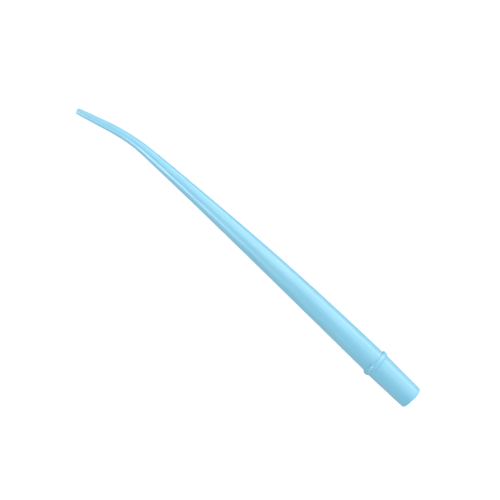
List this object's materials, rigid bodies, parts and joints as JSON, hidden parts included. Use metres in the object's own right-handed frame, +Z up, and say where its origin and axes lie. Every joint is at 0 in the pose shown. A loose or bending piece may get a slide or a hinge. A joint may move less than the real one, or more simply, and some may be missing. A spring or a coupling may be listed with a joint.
{
  "type": "surgical aspirator tip",
  "caption": "Hollow bent suction tube tapering from a plain valve connector, past a rounded stop collar, to a slim angled intake tip.",
  "frame": {"origin": "on the surface that the tube lies on, under the middle of its outline", "axes": "+Z up from that surface, +X towards the valve connector, with the angled tip turned towards -Y"},
  "size_m": [0.1932, 0.0194, 0.013],
  "materials": {
    "blue_plastic": "satin moulded polypropylene, light sky blue"
  },
  "bodies": {
    "root": {"valve_connector": "blue_plastic", "stop_collar": "blue_plastic", "tapered_barrel": "blue_plastic", "angled_neck": "blue_plastic", "intake_tip": "blue_plastic"}
  },
  "joints": []
}
